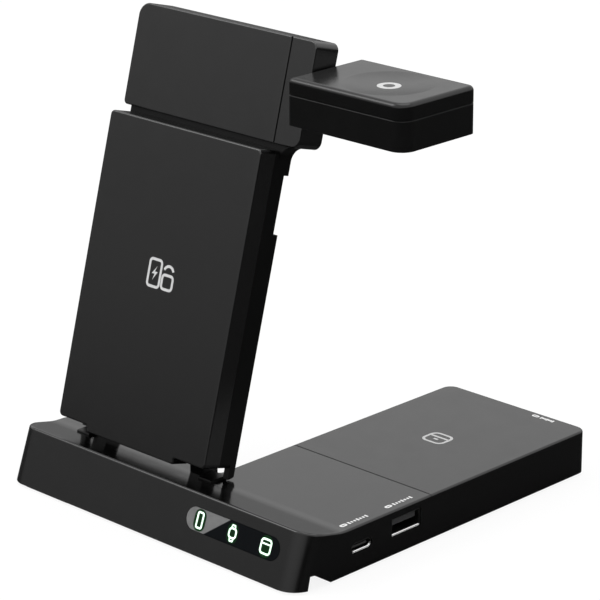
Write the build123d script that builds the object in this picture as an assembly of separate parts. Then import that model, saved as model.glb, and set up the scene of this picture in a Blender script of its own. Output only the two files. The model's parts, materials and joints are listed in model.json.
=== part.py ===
from build123d import *
from math import cos, radians, sin, tan
import os

# Folding three-in-one wireless charging station, in millimetres.
# An L-shaped base has a front bar with a phone ledge and a body with a charging pad.
# A leaning arm with a phone panel folds back on the bar. Its head carries a tilting watch platform.
# Frame: +X to the right along the bar, +Y to the rear, +Z up.
# The origin lies on the standing surface, under the middle of the whole station's outline.
# The pieces are drawn from the base's front left corner and shifted to that origin when saved.

os.makedirs("parts", exist_ok=True)

# ---- Base: outer sizes ----
BASE_WIDTH = 134.2
BASE_DEPTH = 138.6
BAR_DEPTH = 27.5
BODY_WIDTH = 61.0
BODY_HEIGHT = 14.8
LIP_HEIGHT = 18.0
FRONT_LEAN = 20.1
LEDGE_SLOPE = 12.7
FOOT_PROUD = 0.8
FRONT_CORNER_R = 7.5
REAR_CORNER_R = 4.0
BAR_REAR_CORNER_R = 3.0
INNER_CORNER_R = 2.0
TOP_EDGE_R = 0.8
CREASE_R = 22.0
CASE_WALL = 1.8
PAD_SEAM_Y = 61.1
PAD_COVER_THICKNESS = 1.6
SEAM_GAP = 0.2
FIT_GAP = 0.15

# ---- Base: finger groove under the front skirt ----
SKIRT_DEPTH = 5.6
GROOVE_HEIGHT = 4.4
GROOVE_LEAN = 15.0
GROOVE_ROOF = 1.8
GROOVE_REAR_Y = 15.2
GROOVE_WEB = 1.2

# ---- Base: underside ----
BOTTOM_THICKNESS = 1.8
FOOT_SINK = 0.5
FOOT_WIDTH = 5.0
FOOT_LENGTH = 12.0
SKIRT_FOOT_WIDTH = 3.0
SKIRT_FOOT_LENGTH = 22.0
SKIRT_FOOT_Y = 2.6
FOOT_INSET_X = 9.5
FOOT_INSET_Y = 12.0
POST_R = 2.8
POST_INSET = 5.0
POST_CORE_R = 1.0
POST_RIB = 1.2
SCREW_R = 0.95
SCREW_HEAD_R = 1.9
SCREW_HEAD_HEIGHT = 1.2
SCREW_LENGTH = 7.0
SCREW_RECESS = 0.2
SCREW_CLEARANCE = 0.15

# ---- Base: status window on the front face ----
WINDOW_FROM_BODY = 30.0
WINDOW_UP = 11.1
WINDOW_LENGTH = 41.0
WINDOW_HEIGHT = 7.6
WINDOW_FLANGE = 1.0
WINDOW_FLANGE_EXTRA = 2.0
ICON_PITCH = 14.5
ICON_COUNT = 3
MASK_DEPTH = 2.4
MASK_LENGTH = 42.0
MASK_HEIGHT = 5.2
MASK_CELL_LENGTH = 9.0
MASK_CELL_HEIGHT = 4.0
LED_BOARD_THICKNESS = 1.0
LED_SIZE = 2.0
LED_HEIGHT = 0.8

# ---- Base: main board and sockets ----
BOARD_THICKNESS = 1.2
BOARD_RISE = 3.25
BOARD_FROM_BODY = 11.0
BOARD_FRONT_Y = 25.4
BOARD_WALL_GAP = 0.4
BOARD_MOUNT_LEFT = 4.8
BOARD_MOUNT_RIGHT = 11.4
BOARD_MOUNT_FRONT = 12.0
BOARD_MOUNT_REAR = 14.4
BOARD_MOUNT_STEP = 5.0
STANDOFF_R = 2.4
BOARD_SCREW_R = 0.9
BOARD_SCREW_HEAD_R = 1.7
BOARD_SCREW_HEAD_HEIGHT = 1.0
SOCKET_SET_BACK = 0.3
SOCKET_GAP = 0.15
SHELL_SHEET = 0.3
TYPE_C_WIDTH = 8.94
TYPE_C_HEIGHT = 3.2
TYPE_C_LENGTH = 7.3
TYPE_C_BLADE_WIDTH = 6.6
TYPE_C_BLADE_THICKNESS = 0.7
TYPE_C_BLADE_SET_BACK = 0.9
TYPE_A_WIDTH = 13.1
TYPE_A_HEIGHT = 5.8
TYPE_A_LENGTH = 13.0
TYPE_A_BLADE_WIDTH = 11.1
TYPE_A_BLADE_THICKNESS = 1.9
TYPE_A_BLADE_SET_BACK = 1.2
TYPE_A_BLADE_DROP = 0.6
SOCKET_BLOCK = 2.0
TYPE_C_Y = 29.0
TYPE_A_Y = 49.3
INLET_FROM_RIGHT = 17.1

# ---- Base: charging coil under the pad ----
PAD_Y = 98.0
PAD_COIL_R = 21.0
COIL_HOLE_R = 10.0
COIL_THICKNESS = 1.0
PAD_FERRITE_SIDE = 43.0
FERRITE_THICKNESS = 0.8
FERRITE_CORNER_R = 3.0

# ---- Arm: hinge to the base ----
ARM_LEAN = 15.1
HINGE_Y = 24.7
HINGE_RISE = 7.15
HINGE_TO_BACK = 3.5
HINGE_TO_FOOT = 2.85
EAR_R = 3.2
EAR_WIDTH = 6.0
EAR_SPACING = 46.0
EAR_GAP = 0.35
WASHER_THICKNESS = 0.5
WASHER_PLAY = 0.05
WASHER_R = 2.9
HINGE_PIN_R = 1.5
HINGE_PLAY = 0.05
HINGE_BUSH_R = 2.2
PIN_END_GAP = 5.0
PLUG_R = 2.4
PLUG_LENGTH = 1.6

# ---- Arm: phone panel and case ----
ARM_LEFT_X = 11.2
ARM_WIDTH = 69.3
ARM_THICKNESS = 14.2
PANEL_THICKNESS = 6.8
PANEL_LENGTH = 102.7
PANEL_WALL = 1.6
PANEL_CORNER_R = 1.6
PANEL_EDGE_R = 0.6
SKIRT_WIDTH = 41.0
SKIRT_DROP = 2.1
SKIRT_CORNER_R = 0.7
HEEL_WIDTH = 2.2
HEEL_DEPTH = 2.6
HEEL_R = 6.5
ARM_WALL = 1.8
ARM_FOOT_BLOCK = 6.0
NOTCH_START = 73.2
NOTCH_LENGTH = 19.0
NOTCH_DEPTH = 2.0
NOTCH_REACH = 18.0
NECK_LENGTH = 6.0
NECK_SET_BACK = 1.6
GUSSET_R = 5.0
PHONE_COIL_UP = 52.6
PHONE_COIL_R = 24.0
PHONE_FERRITE_SIDE = 52.0
ARM_BOARD_WIDTH = 44.0
ARM_BOARD_LENGTH = 22.0
ARM_BOARD_UP = 10.0
ARM_BOARD_RISE = 1.5
ARM_STANDOFF_R = 2.0
ARM_MOUNT_INSET = 4.0

# ---- Arm: head ----
HEAD_PAST_LEFT = 2.3
HEAD_SEAM_INSET = 2.2
HEAD_PAST_RIGHT = 8.5
HEAD_GROOVE = 2.0
HEAD_HEIGHT = 33.9
HEAD_SET_BACK = 7.1
HEAD_THICKNESS = 10.2
HEAD_COVER_THICKNESS = 2.5
HEAD_FACE = 1.5
HEAD_TOP_LEFT_R = 4.5
HEAD_TOP_RIGHT_R = 2.5
HEAD_BOTTOM_RIGHT_R = 3.0
HEAD_BOTTOM_LEFT_R = 1.5
HEAD_EDGE_R = 0.5

# ---- Watch platform and its pivot ----
TILT_UP = 16.9
TILT_BOSS_R = 4.2
TILT_BUSH_R = 3.0
TILT_PIN_R = 2.0
TILT_PLAY = 0.05
TILT_BOSS_LENGTH = 6.4
TILT_NUT_R = 2.7
TILT_NUT_THICKNESS = 1.0
TILT_WASHER_R = 2.8
TILT_WASHER_THICKNESS = 0.6
PLATFORM_GAP = 0.3
PLATFORM_WIDTH = 47.8
PLATFORM_DEPTH = 33.1
PLATFORM_HEIGHT = 15.0
PLATFORM_PIVOT_FRONT = 14.0
PLATFORM_PIVOT_DROP = 6.0
PLATFORM_WALL = 1.6
PLATFORM_TOP_THICKNESS = 5.2
PLATFORM_FRONT_R = 5.0
PLATFORM_REAR_R = 2.5
PLATFORM_INNER_R = 1.2
PLATFORM_EDGE_R = 1.6
PARTING_BEVEL = 0.4
PLATFORM_BOSS_LENGTH = 11.0
PLATFORM_BOSS_R = 3.6
DISH_R = 14.4
DISH_DEPTH = 0.8
DISH_FROM_LEFT = 27.1
DISH_FROM_FRONT = 16.3
DISH_SKIN = 1.2
WATCH_COIL_R = 12.0
WATCH_COIL_HOLE_R = 5.5
WATCH_FERRITE_R = 13.0
WATCH_MAGNET_R = 4.0

# ---- Places worked out from those sizes ----
CASE_BOTTOM = FOOT_PROUD
CASE_TOP = CASE_BOTTOM + BODY_HEIGHT
LIP_TOP = CASE_BOTTOM + LIP_HEIGHT
BODY_X = BASE_WIDTH - BODY_WIDTH
PAD_X = BODY_X + BODY_WIDTH / 2
WINDOW_X = BODY_X + WINDOW_FROM_BODY
BOARD_LEFT_X = BODY_X + BOARD_FROM_BODY
INLET_X = BASE_WIDTH - INLET_FROM_RIGHT
LIP_Y = LIP_HEIGHT * tan(radians(FRONT_LEAN))
CREASE_Y = LIP_Y + (LIP_HEIGHT - BODY_HEIGHT) / tan(radians(LEDGE_SLOPE))
FLOOR_TOP = CASE_BOTTOM + BOTTOM_THICKNESS
BOARD_BOTTOM = FLOOR_TOP + BOARD_RISE
BOARD_TOP = BOARD_BOTTOM + BOARD_THICKNESS
PAD_UNDERSIDE = CASE_TOP - PAD_COVER_THICKNESS
HINGE_Z = CASE_TOP + HINGE_RISE
ARM_RIGHT_X = ARM_LEFT_X + ARM_WIDTH
ARM_MID_X = ARM_LEFT_X + ARM_WIDTH / 2
HEAD_LEFT_X = ARM_LEFT_X - HEAD_PAST_LEFT
HEAD_SEAM_X = ARM_RIGHT_X - HEAD_SEAM_INSET
HEAD_RIGHT_X = ARM_RIGHT_X + HEAD_PAST_RIGHT
EAR_XS = [ARM_MID_X - EAR_SPACING / 2, ARM_MID_X + EAR_SPACING / 2]
ARM_BACK = -HINGE_TO_BACK
ARM_FRONT = ARM_BACK + ARM_THICKNESS
ARM_PARTING = ARM_FRONT - PANEL_THICKNESS
ARM_BOTTOM = -HINGE_TO_FOOT
PANEL_TOP = ARM_BOTTOM + PANEL_LENGTH
HEAD_BOTTOM = PANEL_TOP + HEAD_GROOVE
HEAD_TOP = HEAD_BOTTOM + HEAD_HEIGHT
HEAD_FRONT = ARM_FRONT - HEAD_SET_BACK
HEAD_BACK = HEAD_FRONT - HEAD_THICKNESS
HEAD_PARTING = HEAD_FRONT - HEAD_COVER_THICKNESS
TILT_U = HEAD_BOTTOM + TILT_UP
TILT_W = (HEAD_FRONT + HEAD_BACK) / 2
TILT_Y = HINGE_Y + TILT_U * sin(radians(ARM_LEAN)) - TILT_W * cos(radians(ARM_LEAN))
TILT_Z = HINGE_Z + TILT_U * cos(radians(ARM_LEAN)) + TILT_W * sin(radians(ARM_LEAN))
PLATFORM_X = HEAD_RIGHT_X + PLATFORM_GAP
PLATFORM_Y = TILT_Y - PLATFORM_PIVOT_FRONT
PLATFORM_Z = TILT_Z - PLATFORM_PIVOT_DROP
PLATFORM_TOP = PLATFORM_Z + PLATFORM_HEIGHT
PLATFORM_SPLIT = PLATFORM_TOP - PLATFORM_TOP_THICKNESS
OVERALL_WIDTH = max(BASE_WIDTH, PLATFORM_X + PLATFORM_WIDTH)
DISH_X = PLATFORM_X + DISH_FROM_LEFT
DISH_Y = PLATFORM_Y + DISH_FROM_FRONT
OVERCUT = 1.0
NEAR = 0.01

# The front face's plane: x along the bar, y up the face, z out of the face.
FACE = Plane(
    origin=(0, 0, CASE_BOTTOM),
    x_dir=(1, 0, 0),
    z_dir=(0, -cos(radians(FRONT_LEAN)), sin(radians(FRONT_LEAN))),
)
# The arm's plane, on the hinge axis: x to the right, y up the arm, z to the arm's front.
ARM = Plane(
    origin=(0, HINGE_Y, HINGE_Z),
    x_dir=(1, 0, 0),
    z_dir=(0, -cos(radians(ARM_LEAN)), sin(radians(ARM_LEAN))),
)


# ---- Shape helpers ----
def block(x0, x1, y0, y1, z0, z1):
    """A box between two corners."""
    size = Box(x1 - x0, y1 - y0, z1 - z0)
    return Pos((x0 + x1) / 2, (y0 + y1) / 2, (z0 + z1) / 2) * size


def rod_x(y, z, radius, x0, x1):
    """A round rod along X."""
    return Pos((x0 + x1) / 2, y, z) * Rot(0, 90, 0) * Cylinder(radius, x1 - x0)


def rod_z(x, y, radius, z0, z1):
    """A round rod along Z."""
    return Pos(x, y, (z0 + z1) / 2) * Cylinder(radius, z1 - z0)


def prism_x(outline, x0, x1):
    """A closed outline of (y, z) points drawn out along X."""
    corners = [(x0, y, z) for y, z in outline]
    return extrude(make_face(Polyline(*corners, close=True)), amount=x1 - x0, dir=(1, 0, 0))


def plan(corners, z0, z1):
    """A level outline of (x, y, corner radius) entries drawn up from z0 to z1."""
    face = make_face(Polyline(*[(x, y, z0) for x, y, _ in corners], close=True))
    for x, y, radius in corners:
        if radius > 0:
            face = fillet(face.vertices().sort_by_distance((x, y, z0))[0], radius)
    return extrude(face, amount=z1 - z0, dir=(0, 0, 1))


def rounded_block(x0, x1, y0, y1, z0, z1, radius):
    """A box whose upright corners are all rounded alike."""
    corners = [(x0, y0, radius), (x1, y0, radius), (x1, y1, radius), (x0, y1, radius)]
    return plan(corners, z0, z1)


def edges_at_top(solid):
    """The edges round the highest face."""
    return solid.faces().sort_by(Axis.Z)[-1].edges()


def slot_z(x, y, length, width, z0, z1):
    """A straight-sided slot with round ends, long along X, drawn up from z0 to z1."""
    return Pos(x, y, z0) * extrude(SlotOverall(length, width), amount=z1 - z0)


def arm_place(shape):
    """Stand a piece drawn in the arm's plane in its place on the base."""
    return ARM.location * shape


def face_place(shape):
    """Put a piece drawn in the front face's plane in its place."""
    return FACE.location * shape


def save(name, shape):
    """Write one node, shifted to the part's origin."""
    shift = Pos(-OVERALL_WIDTH / 2, -BASE_DEPTH / 2, 0)
    solids = [shift * solid for solid in shape.solids()]
    whole = solids[0] if len(solids) == 1 else Compound(solids)
    export_step(whole, os.path.join("parts", name + ".step"))


# ---- Base ----
def base_outline(inset):
    """The L-shaped footprint, drawn in from the outside by inset."""
    left_body = BODY_X + inset
    rear_bar = BAR_DEPTH - inset
    right = BASE_WIDTH - inset
    rear = BASE_DEPTH - inset
    rear_r = max(REAR_CORNER_R - inset, 0)
    return [
        (inset, 0, 0),
        (right, 0, 0),
        (right, rear, rear_r),
        (left_body, rear, rear_r),
        (left_body, rear_bar, INNER_CORNER_R + inset),
        (inset, rear_bar, max(BAR_REAR_CORNER_R - inset, 0)),
    ]


def front_y(height, inset):
    """How far back the front face lies at a height above the case's bottom, inset inwards."""
    return height * tan(radians(FRONT_LEAN)) + inset / cos(radians(FRONT_LEAN))


def ledge_corner(inset):
    """The front top corner of the profile, drawn in by inset from the face and the ledge."""
    slope = tan(radians(LEDGE_SLOPE))
    lean = tan(radians(FRONT_LEAN))
    drop = inset / cos(radians(LEDGE_SLOPE))
    push = inset / cos(radians(FRONT_LEAN))
    height = (LIP_HEIGHT - drop + slope * (LIP_Y - push)) / (1 + slope * lean)
    return front_y(height, inset), CASE_BOTTOM + height


def base_form():
    """The outside of the base as one solid: leaning front, ledge that falls back, flat body top."""
    lip_y, lip_z = ledge_corner(0)
    side = [
        (0, CASE_BOTTOM),
        (lip_y, lip_z),
        (CREASE_Y, CASE_TOP),
        (BASE_DEPTH, CASE_TOP),
        (BASE_DEPTH, CASE_BOTTOM),
    ]
    form = prism_x(side, 0, BASE_WIDTH)
    crease = form.edges().filter_by(Axis.X).sort_by_distance((BASE_WIDTH / 2, CREASE_Y, CASE_TOP))
    form = fillet(crease[0], CREASE_R) & plan(base_outline(0), 0, LIP_TOP + OVERCUT)
    rising = [e for e in form.edges() if e.center().Y < LIP_Y and e.bounding_box().size.X < NEAR]
    form = fillet(rising, FRONT_CORNER_R)
    tops = [e for e in form.edges() if e.bounding_box().min.Z > CASE_TOP - NEAR]
    return fillet([e for e in tops if not crosses_top(e)], TOP_EDGE_R)


def crosses_top(edge):
    """True for the lines across the base where the ledge eases into the flat top."""
    return LIP_Y + NEAR < edge.center().Y < BAR_DEPTH - NEAR and edge.length > BODY_WIDTH


def groove_form():
    """The finger groove along the underside, just behind the front skirt."""
    run = GROOVE_HEIGHT * tan(radians(GROOVE_LEAN))
    roof = CASE_BOTTOM + GROOVE_HEIGHT
    outline = [
        (SKIRT_DEPTH, CASE_BOTTOM - OVERCUT),
        (SKIRT_DEPTH, CASE_BOTTOM),
        (SKIRT_DEPTH + run, roof),
        (SKIRT_DEPTH + run + GROOVE_ROOF, roof),
        (GROOVE_REAR_Y, CASE_BOTTOM),
        (GROOVE_REAR_Y, CASE_BOTTOM - OVERCUT),
    ]
    return prism_x(outline, -OVERCUT, BASE_WIDTH + OVERCUT)


def cavity_form():
    """The space inside the base case, open at the bottom behind the groove."""
    web_height = GROOVE_HEIGHT + GROOVE_WEB
    web_z = CASE_BOTTOM + web_height
    roof_end = SKIRT_DEPTH + GROOVE_HEIGHT * tan(radians(GROOVE_LEAN)) + GROOVE_ROOF
    corner = ledge_corner(CASE_WALL)
    ledge_drop = CASE_WALL / cos(radians(LEDGE_SLOPE)) - CASE_WALL
    crease = CREASE_Y - ledge_drop / tan(radians(LEDGE_SLOPE))
    side = [
        (front_y(web_height, CASE_WALL), web_z),
        corner,
        (crease, CASE_TOP - CASE_WALL),
        (BASE_DEPTH, CASE_TOP - CASE_WALL),
        (BASE_DEPTH, CASE_BOTTOM - OVERCUT),
        (GROOVE_REAR_Y + GROOVE_WEB, CASE_BOTTOM - OVERCUT),
        (GROOVE_REAR_Y + GROOVE_WEB, CASE_BOTTOM),
        (roof_end + GROOVE_WEB, web_z),
    ]
    walls = plan(base_outline(CASE_WALL), CASE_BOTTOM - OVERCUT, LIP_TOP + OVERCUT)
    cavity = prism_x(side, 0, BASE_WIDTH) & walls
    rising = [e for e in cavity.edges() if e.center().Y < corner[0] and abs(e.tangent_at(0).Z) > 0.5]
    return fillet(rising, FRONT_CORNER_R - CASE_WALL)


def post_spots():
    """Where the screws that hold the bottom cover go."""
    strip_y = (GROOVE_REAR_Y + GROOVE_WEB + BAR_DEPTH - CASE_WALL) / 2
    left = BODY_X + POST_INSET
    right = BASE_WIDTH - POST_INSET
    rear = BASE_DEPTH - POST_INSET
    middle = (BAR_DEPTH + rear) / 2
    return [
        (POST_INSET, strip_y),
        (ARM_MID_X, strip_y),
        (right, strip_y),
        (left, BAR_DEPTH + POST_INSET),
        (left, middle),
        (right, middle),
        (left, rear),
        (right, rear),
    ]


def ear_form(x):
    """One hinge ear: an upright tongue with a round top, bored for its bush."""
    x0 = x - EAR_WIDTH / 2
    x1 = x + EAR_WIDTH / 2
    stem = block(x0, x1, HINGE_Y - EAR_R, HINGE_Y + EAR_R, CASE_TOP - CASE_WALL, HINGE_Z)
    tongue = stem + rod_x(HINGE_Y, HINGE_Z, EAR_R, x0, x1)
    return tongue - rod_x(HINGE_Y, HINGE_Z, HINGE_BUSH_R, x0 - OVERCUT, x1 + OVERCUT)


def window_slot(extra, z0, z1):
    """A slot of the window's size, grown by extra, drawn in the front face's plane."""
    return slot_z(WINDOW_X, WINDOW_UP, WINDOW_LENGTH + 2 * extra, WINDOW_HEIGHT + 2 * extra, z0, z1)


def type_c_slot(width, height, length):
    """A type C socket's section, along +X from the origin."""
    return Rot(0, 90, 0) * Rot(0, 0, 90) * extrude(SlotOverall(width, height), amount=length)


def side_socket_place(y, height):
    """The mouth of a socket of a height in the right-hand wall, with +X turned outwards."""
    return Pos(BASE_WIDTH - SOCKET_SET_BACK, y, BOARD_TOP + height / 2)


def socket_holes():
    """The holes in the case walls for the two outputs and the power inlet."""
    grow = 2 * SOCKET_GAP
    reach = CASE_WALL + OVERCUT
    type_c = type_c_slot(TYPE_C_WIDTH + grow, TYPE_C_HEIGHT + grow, 2 * reach)
    type_a = Box(2 * reach, TYPE_A_WIDTH + grow, TYPE_A_HEIGHT + grow)
    output_c = side_socket_place(TYPE_C_Y, TYPE_C_HEIGHT) * Pos(-reach, 0, 0) * type_c
    output_a = side_socket_place(TYPE_A_Y, TYPE_A_HEIGHT) * type_a
    return output_c + output_a + inlet_place() * Pos(-reach, 0, 0) * type_c


def inlet_place():
    """The mouth of the power inlet in the rear wall, with +X turned to the rear."""
    spot = Pos(INLET_X, BASE_DEPTH - SOCKET_SET_BACK, BOARD_TOP + TYPE_C_HEIGHT / 2)
    return spot * Rot(0, 0, 90)


def make_base_case():
    """The moulded upper case of the base, with its ledge, groove, posts and hinge ears."""
    case = base_form() - groove_form() - cavity_form()
    case -= block(
        0,
        BASE_WIDTH,
        PAD_SEAM_Y - SEAM_GAP / 2,
        BASE_DEPTH,
        PAD_UNDERSIDE,
        CASE_TOP + OVERCUT,
    )
    case -= pad_hole()
    for x, y in post_spots():
        top = PAD_UNDERSIDE if y > PAD_SEAM_Y else CASE_TOP - CASE_WALL / 2
        case += rod_z(x, y, POST_R, FLOOR_TOP, top)
        case += post_web(x, y, top)
        case -= rod_z(x, y, POST_CORE_R, FLOOR_TOP - OVERCUT, CASE_BOTTOM + SCREW_LENGTH + OVERCUT)
    for x in EAR_XS:
        case += ear_form(x)
    case -= face_place(window_slot(0, -CASE_WALL - OVERCUT, OVERCUT))
    return case - socket_holes()


def pad_hole():
    """The space under the pad cover's plate, down to the open inside of the case."""
    x0 = BODY_X + CASE_WALL
    x1 = BASE_WIDTH - CASE_WALL
    y0 = PAD_SEAM_Y + CASE_WALL
    y1 = BASE_DEPTH - CASE_WALL
    low = CASE_TOP - CASE_WALL - OVERCUT
    corner = REAR_CORNER_R - CASE_WALL
    corners = [
        (x0, y0, 0),
        (x1, y0, 0),
        (x1, y1, corner),
        (x0, y1, corner),
    ]
    return plan(corners, low, CASE_TOP + OVERCUT)


def post_web(x, y, top):
    """A rib that ties a screw post to the nearest side wall."""
    half = POST_RIB / 2
    if abs(x - ARM_MID_X) < NEAR:
        return block(x - half, x + half, y, BAR_DEPTH - CASE_WALL / 2, FLOOR_TOP, top)
    walls = [CASE_WALL / 2, BODY_X + CASE_WALL / 2, BASE_WIDTH - CASE_WALL / 2]
    wall_x = min(walls, key=lambda wall: abs(wall - x))
    return block(min(x, wall_x), max(x, wall_x), y - half, y + half, FLOOR_TOP, top)


def make_pad_cover():
    """The charging pad's cover: a plate with the base's own outline and a locating rim."""
    plate = base_form() & block(
        0,
        BASE_WIDTH,
        PAD_SEAM_Y + SEAM_GAP / 2,
        BASE_DEPTH,
        PAD_UNDERSIDE,
        CASE_TOP + OVERCUT,
    )
    return plate


def bottom_outline():
    """The bottom cover's L shape, clear of the case walls and the groove's web."""
    inset = CASE_WALL + FIT_GAP
    outline = base_outline(inset)
    front = GROOVE_REAR_Y + GROOVE_WEB + FIT_GAP
    return [(x, front, 0) if y == 0 else (x, y, r) for x, y, r in outline]


def board_mounts():
    """Where the main board rests on the bottom cover."""
    left = BOARD_LEFT_X + BOARD_MOUNT_LEFT
    right = BASE_WIDTH - BOARD_MOUNT_RIGHT
    front = BOARD_FRONT_Y + BOARD_MOUNT_FRONT
    rear = BASE_DEPTH - BOARD_MOUNT_REAR
    near_sockets = (right - BOARD_MOUNT_STEP, front + BOARD_MOUNT_STEP)
    return [(left, front), near_sockets, (left, rear), (right, rear)]


def foot_spots():
    """The long feet on the bottom cover."""
    strip_y = (GROOVE_REAR_Y + GROOVE_WEB + BAR_DEPTH - CASE_WALL) / 2
    left = BODY_X + FOOT_INSET_X + FOOT_LENGTH / 2
    right = BASE_WIDTH - FOOT_INSET_X - FOOT_LENGTH / 2
    return [
        (POST_INSET + FOOT_LENGTH, strip_y),
        (BODY_X, strip_y),
        (right, strip_y),
        (left, BASE_DEPTH - FOOT_INSET_Y),
        (right, BASE_DEPTH - FOOT_INSET_Y),
    ]


def skirt_foot_spots():
    """The thin feet under the front skirt."""
    reach = FRONT_CORNER_R + SKIRT_FOOT_LENGTH / 2
    return [(reach, SKIRT_FOOT_Y), (BASE_WIDTH - reach, SKIRT_FOOT_Y)]


def make_bottom_cover():
    """The flat bottom cover, with screw holes, foot recesses and board standoffs."""
    cover = plan(bottom_outline(), CASE_BOTTOM, FLOOR_TOP)
    for x, y in board_mounts():
        cover += rod_z(x, y, STANDOFF_R, FLOOR_TOP, BOARD_BOTTOM)
        cover -= rod_z(x, y, BOARD_SCREW_R, FLOOR_TOP, BOARD_BOTTOM + OVERCUT)
    for x, y in post_spots():
        hole = SCREW_R + SCREW_CLEARANCE
        cover -= rod_z(x, y, hole, CASE_BOTTOM - OVERCUT, FLOOR_TOP + OVERCUT)
        seat = CASE_BOTTOM + SCREW_RECESS + SCREW_HEAD_HEIGHT
        cover -= rod_z(x, y, SCREW_HEAD_R + SCREW_CLEARANCE, CASE_BOTTOM - OVERCUT, seat)
    for x, y in foot_spots():
        cover -= slot_z(x, y, FOOT_LENGTH, FOOT_WIDTH, CASE_BOTTOM - OVERCUT, CASE_BOTTOM + FOOT_SINK)
    return cover


def make_rubber_feet():
    """Five long feet on the bottom cover and two thin ones under the skirt."""
    feet = [
        slot_z(x, y, FOOT_LENGTH - 2 * FIT_GAP, FOOT_WIDTH - 2 * FIT_GAP, 0, CASE_BOTTOM + FOOT_SINK)
        for x, y in foot_spots()
    ]
    feet += [
        slot_z(x, y, SKIRT_FOOT_LENGTH, SKIRT_FOOT_WIDTH, 0, CASE_BOTTOM)
        for x, y in skirt_foot_spots()
    ]
    return Compound(children=[foot.solids()[0] for foot in feet])


def make_base_screws():
    """The screws that pull the bottom cover up against the posts."""
    screws = []
    for x, y in post_spots():
        head_z = CASE_BOTTOM + SCREW_RECESS
        neck_z = head_z + SCREW_HEAD_HEIGHT
        screw = rod_z(x, y, SCREW_HEAD_R, head_z, neck_z)
        screw += rod_z(x, y, SCREW_R, neck_z, CASE_BOTTOM + SCREW_LENGTH)
        screws.append(screw.solids()[0])
    return Compound(children=screws)


def icon_xs():
    """The centres of the status lights along the window."""
    first = WINDOW_X - ICON_PITCH * (ICON_COUNT - 1) / 2
    return [first + ICON_PITCH * n for n in range(ICON_COUNT)]


def make_indicator_window():
    """The smoked window, flush with the front face, on a flange inside the wall."""
    lens = window_slot(-FIT_GAP, -CASE_WALL, 0)
    half_length = WINDOW_LENGTH / 2 + WINDOW_FLANGE_EXTRA
    half_height = WINDOW_HEIGHT / 2 - FIT_GAP
    flange = block(
        WINDOW_X - half_length,
        WINDOW_X + half_length,
        WINDOW_UP - half_height,
        WINDOW_UP + half_height,
        -CASE_WALL - WINDOW_FLANGE,
        -CASE_WALL,
    )
    return face_place(lens + flange)


def mask_back():
    """How far behind the front face the light mask ends."""
    return CASE_WALL + WINDOW_FLANGE + MASK_DEPTH


def make_light_mask():
    """The opaque frame that keeps each light to its own symbol."""
    front = -CASE_WALL - WINDOW_FLANGE
    half_length = MASK_LENGTH / 2
    half_height = MASK_HEIGHT / 2
    mask = block(
        WINDOW_X - half_length,
        WINDOW_X + half_length,
        WINDOW_UP - half_height,
        WINDOW_UP + half_height,
        -mask_back(),
        front,
    )
    for x in icon_xs():
        cell = Box(MASK_CELL_LENGTH, MASK_CELL_HEIGHT, 2 * MASK_DEPTH + OVERCUT)
        mask -= Pos(x, WINDOW_UP, -mask_back()) * cell
    return face_place(mask)


def make_led_board():
    """The small board behind the mask."""
    half_length = MASK_LENGTH / 2
    half_height = MASK_HEIGHT / 2
    board = block(
        WINDOW_X - half_length,
        WINDOW_X + half_length,
        WINDOW_UP - half_height,
        WINDOW_UP + half_height,
        -mask_back() - LED_BOARD_THICKNESS,
        -mask_back(),
    )
    return face_place(board)


def make_indicator_leds():
    """One light behind each symbol."""
    leds = []
    for x in icon_xs():
        z = -mask_back() + LED_HEIGHT / 2
        leds.append(face_place(Pos(x, WINDOW_UP, z) * Box(LED_SIZE, LED_SIZE, LED_HEIGHT)))
    return Compound(children=leds)


def make_main_board():
    """The main circuit board, cut away round the screw posts."""
    right = BASE_WIDTH - CASE_WALL - BOARD_WALL_GAP
    rear = BASE_DEPTH - CASE_WALL - BOARD_WALL_GAP
    board = block(BOARD_LEFT_X, right, BOARD_FRONT_Y, rear, BOARD_BOTTOM, BOARD_TOP)
    for x, y in post_spots():
        reach = POST_R + BOARD_WALL_GAP
        board -= block(
            x - reach,
            max(x + reach, right + OVERCUT) if x > BOARD_LEFT_X else x + reach,
            y - reach,
            y + reach,
            BOARD_BOTTOM - OVERCUT,
            BOARD_TOP + OVERCUT,
        )
    for x, y in board_mounts():
        hole = BOARD_SCREW_R + SCREW_CLEARANCE
        board -= rod_z(x, y, hole, BOARD_BOTTOM - OVERCUT, BOARD_TOP + OVERCUT)
    return board


def make_board_screws():
    """The screws that hold the main board on its standoffs."""
    screws = []
    for x, y in board_mounts():
        screw = rod_z(x, y, BOARD_SCREW_R, FLOOR_TOP + OVERCUT / 2, BOARD_TOP)
        screw += rod_z(x, y, BOARD_SCREW_HEAD_R, BOARD_TOP, BOARD_TOP + BOARD_SCREW_HEAD_HEIGHT)
        screws.append(screw.solids()[0])
    return Compound(children=screws)


def type_c_shell():
    """A type C socket's metal shell, its mouth at the origin and its body along -X."""
    outer = type_c_slot(TYPE_C_WIDTH, TYPE_C_HEIGHT, TYPE_C_LENGTH)
    bore = type_c_slot(
        TYPE_C_WIDTH - 2 * SHELL_SHEET,
        TYPE_C_HEIGHT - 2 * SHELL_SHEET,
        TYPE_C_LENGTH + 2 * OVERCUT,
    )
    return Pos(-TYPE_C_LENGTH, 0, 0) * (outer - Pos(-OVERCUT, 0, 0) * bore)


def type_c_tongue():
    """A type C socket's insulator: a block that fills the shell's end and a thin blade."""
    block_part = type_c_slot(
        TYPE_C_WIDTH - 2 * SHELL_SHEET,
        TYPE_C_HEIGHT - 2 * SHELL_SHEET,
        SOCKET_BLOCK,
    )
    blade_length = TYPE_C_LENGTH - TYPE_C_BLADE_SET_BACK
    blade = Pos(blade_length / 2, 0, 0) * Box(blade_length, TYPE_C_BLADE_WIDTH, TYPE_C_BLADE_THICKNESS)
    return Pos(-TYPE_C_LENGTH, 0, 0) * (block_part + blade)


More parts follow.
